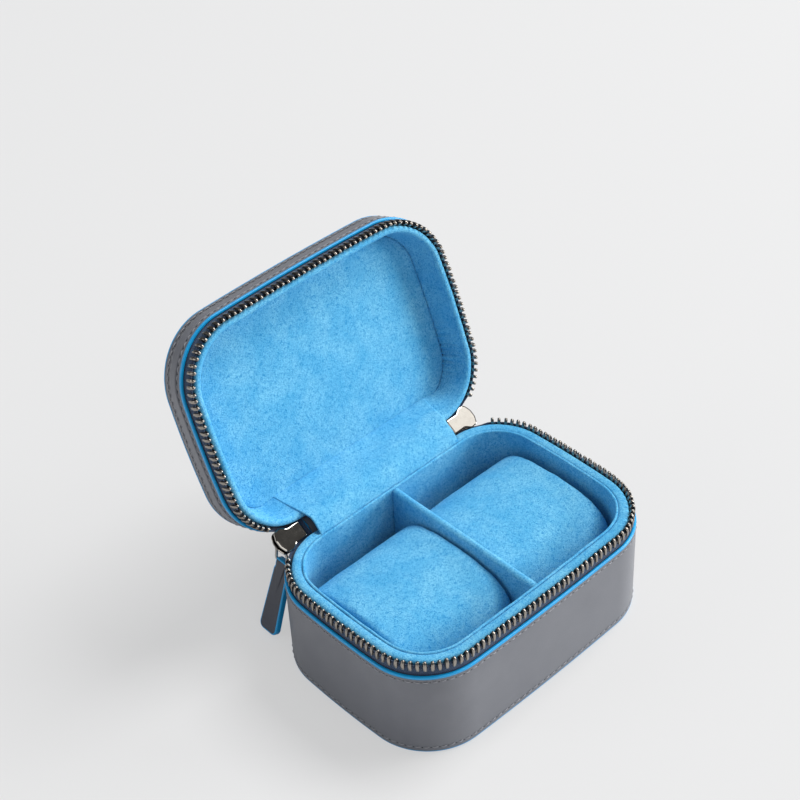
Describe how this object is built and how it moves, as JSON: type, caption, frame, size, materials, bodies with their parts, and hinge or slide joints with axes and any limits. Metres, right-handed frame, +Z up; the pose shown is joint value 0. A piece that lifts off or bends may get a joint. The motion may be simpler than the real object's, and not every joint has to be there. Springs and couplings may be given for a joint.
{
  "type": "watch travel case",
  "caption": "Leather travel case for watches: padded wells with loose cushions, a hinged lid and a zip round the rim with leather pulls.",
  "frame": {"origin": "centre of the underside of the box, on the surface it stands on", "axes": "+X along the hinge, +Y from the front towards the hinge, +Z up"},
  "size_m": [0.15, 0.1636, 0.1509],
  "materials": {
    "grey_leather": "smooth matt grey, stitched, with blue painted edges",
    "pull_leather": "smooth matt dark grey with blue painted edges",
    "board": "rigid grey board",
    "foam": "soft sheet foam",
    "blue_suede": "bright blue brushed suede",
    "zip_tape": "dark navy woven tape",
    "gunmetal": "polished gunmetal plate",
    "pull_metal": "polished steel"
  },
  "bodies": {
    "base": {"base_bottom_panel": "grey_leather", "base_collar": "blue_suede", "base_floor_board": "board", "base_floor_foam": "foam", "base_floor_lining": "blue_suede", "base_leather_wall": "grey_leather", "base_lining_wall": "blue_suede", "base_wall_board": "board", "base_wall_foam": "foam", "base_zip_tape": "zip_tape", "base_zip_teeth": "gunmetal", "divider_board": "board", "divider_cover": "blue_suede", "hinge_flap": "blue_suede", "hinge_spine": "grey_leather"},
    "lid": {"lid_collar": "blue_suede", "lid_hinge_ramp": "blue_suede", "lid_leather_wall": "grey_leather", "lid_lining_panel": "blue_suede", "lid_lining_wall": "blue_suede", "lid_top_board": "board", "lid_top_panel": "grey_leather", "lid_wall_board": "board", "lid_zip_tape": "zip_tape", "lid_zip_teeth": "gunmetal"},
    "slider_left": {"slider_left_body": "gunmetal", "slider_left_crown": "gunmetal", "zip_end_tape_left": "zip_tape"},
    "slider_right": {"slider_right_body": "gunmetal", "slider_right_crown": "gunmetal", "zip_end_tape_right": "zip_tape"},
    "pull_left": {"pull_left_link": "pull_metal", "pull_left_tab": "pull_leather"},
    "pull_right": {"pull_right_link": "pull_metal", "pull_right_tab": "pull_leather"},
    "cushion_left": {"cushion_left": "blue_suede"},
    "cushion_right": {"cushion_right": "blue_suede"}
  },
  "joints": [
    {"name": "lid_hinge", "type": "hinge", "parent": "base", "child": "lid", "pos_m": [0, 0.053, 0.0535], "axis": [1, 0, 0], "range_deg": [0, 112], "deforming": ["hinge_spine", "hinge_flap"]},
    {"name": "slider_left_swing", "type": "hinge", "parent": "base", "child": "slider_left", "pos_m": [0, 0.0518, 0.0505], "axis": [1, 0, 0], "range_deg": [0, 56]},
    {"name": "slider_right_swing", "type": "hinge", "parent": "base", "child": "slider_right", "pos_m": [0, 0.0518, 0.0505], "axis": [1, 0, 0], "range_deg": [0, 56]},
    {"name": "pull_left_swing", "type": "hinge", "parent": "slider_left", "child": "pull_left", "pos_m": [-0.056, 0.05661, 0.04874], "axis": [0, 0.829, 0.5592], "range_deg": [0, 60]},
    {"name": "pull_right_swing", "type": "hinge", "parent": "slider_right", "child": "pull_right", "pos_m": [0.056, 0.05661, 0.04874], "axis": [0, -0.829, -0.5592], "range_deg": [0, 60]},
    {"name": "cushion_left_lift", "type": "slide", "parent": "base", "child": "cushion_left", "axis": [0, 0, -1], "range_m": [-0.06, 0]},
    {"name": "cushion_right_lift", "type": "slide", "parent": "base", "child": "cushion_right", "axis": [0, 0, -1], "range_m": [-0.06, 0]}
  ],
  "couplings": [
    {"joint": "slider_left_swing", "follows": "lid_hinge", "ratio": 0.5},
    {"joint": "slider_right_swing", "follows": "lid_hinge", "ratio": 0.5}
  ]
}
